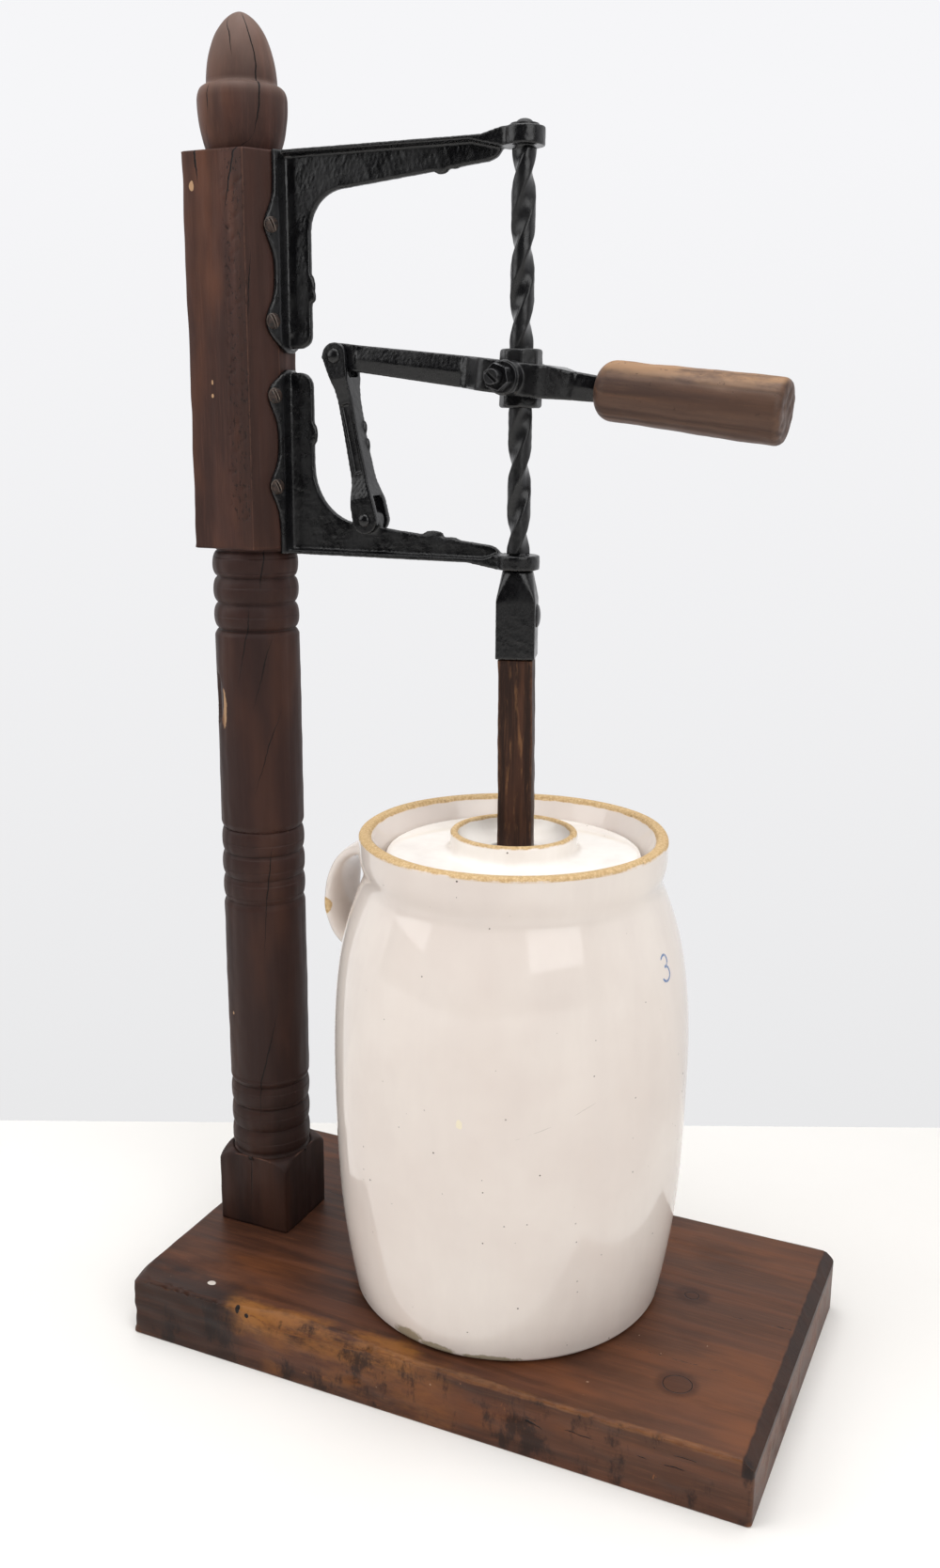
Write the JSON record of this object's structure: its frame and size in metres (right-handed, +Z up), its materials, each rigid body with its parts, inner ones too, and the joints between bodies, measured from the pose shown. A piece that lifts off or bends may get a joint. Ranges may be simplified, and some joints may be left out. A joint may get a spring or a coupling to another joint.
{
  "type": "floor butter churn",
  "caption": "Lever churn: a turned post on a plank carries cast arms, and a twisted spindle spins a wooden dasher in a lidded stoneware crock as the lever moves.",
  "frame": {"origin": "on the floor, straight below the spindle's axis, in the plank's underside", "axes": "+Z up along the spindle, +X along the plank from the post towards the lever's grip, +Y to the back"},
  "size_m": [0.47, 0.256, 0.926],
  "materials": {
    "old_wood": "old dark varnish, worn at the edges",
    "rod_wood": "dark oiled, worn",
    "blade_wood": "bare, water-worn",
    "grip_wood": "bare, polished by hands",
    "black_iron": "black paint on a rough casting",
    "shaft_iron": "black, rubbed bright on the edges",
    "worn_steel": "dark, tarnished",
    "screw_steel": "brown with rust",
    "stoneware": "cream glaze, bare tan clay on the rims"
  },
  "bodies": {
    "frame": {"base_plank": "old_wood", "post": "old_wood", "post_lag_screws": "worn_steel", "upper_bracket": "black_iron", "lower_bracket": "black_iron", "upper_bracket_screws": "screw_steel", "lower_bracket_screws": "screw_steel", "link_lower_pin": "worn_steel", "crock": "stoneware", "crock_bottom": "stoneware", "crock_rim": "stoneware", "crock_handle": "stoneware"},
    "nut": {"sleeve_nut": "shaft_iron"},
    "spindle": {"spiral_shaft": "shaft_iron", "shaft_washer": "worn_steel", "rod_socket": "black_iron", "socket_bolt": "worn_steel", "dasher_rod": "rod_wood", "dasher_blade_upper": "blade_wood", "dasher_blade_lower": "blade_wood", "dasher_pegs": "rod_wood"},
    "lever": {"lever": "black_iron", "lever_grip": "grip_wood", "pivot_screws": "worn_steel", "pivot_lock_nuts": "worn_steel", "pivot_washers": "worn_steel"},
    "link": {"link": "black_iron", "link_upper_pin": "worn_steel"},
    "lid": {"crock_lid": "stoneware"}
  },
  "joints": [
    {"name": "nut_slide", "type": "slide", "parent": "frame", "child": "nut", "axis": [0, 0, 1], "range_m": [-0.02, 0.06]},
    {"name": "spindle_spin", "type": "hinge", "parent": "frame", "child": "spindle", "pos_m": [0, 0, 0.6], "axis": [0, 0, 1], "range_deg": [-243.3, 81.1]},
    {"name": "lever_tilt", "type": "hinge", "parent": "nut", "child": "lever", "pos_m": [0, 0, 0.6922], "axis": [0, 1, 0], "range_deg": [-25.5, 8.5]},
    {"name": "link_swing", "type": "hinge", "parent": "frame", "child": "link", "pos_m": [-0.11, 0, 0.5992], "axis": [0, 1, 0], "range_deg": [-0.35, 1.04]},
    {"name": "lid_lift", "type": "slide", "parent": "frame", "child": "lid", "axis": [0, 0, 1], "range_m": [0, 0.11]}
  ],
  "couplings": [
    {"joint": "spindle_spin", "follows": "nut_slide", "rad_per_m": -70.757},
    {"joint": "lever_tilt", "follows": "nut_slide", "rad_per_m": -7.39},
    {"joint": "link_swing", "follows": "nut_slide", "rad_per_m": 0.3}
  ]
}
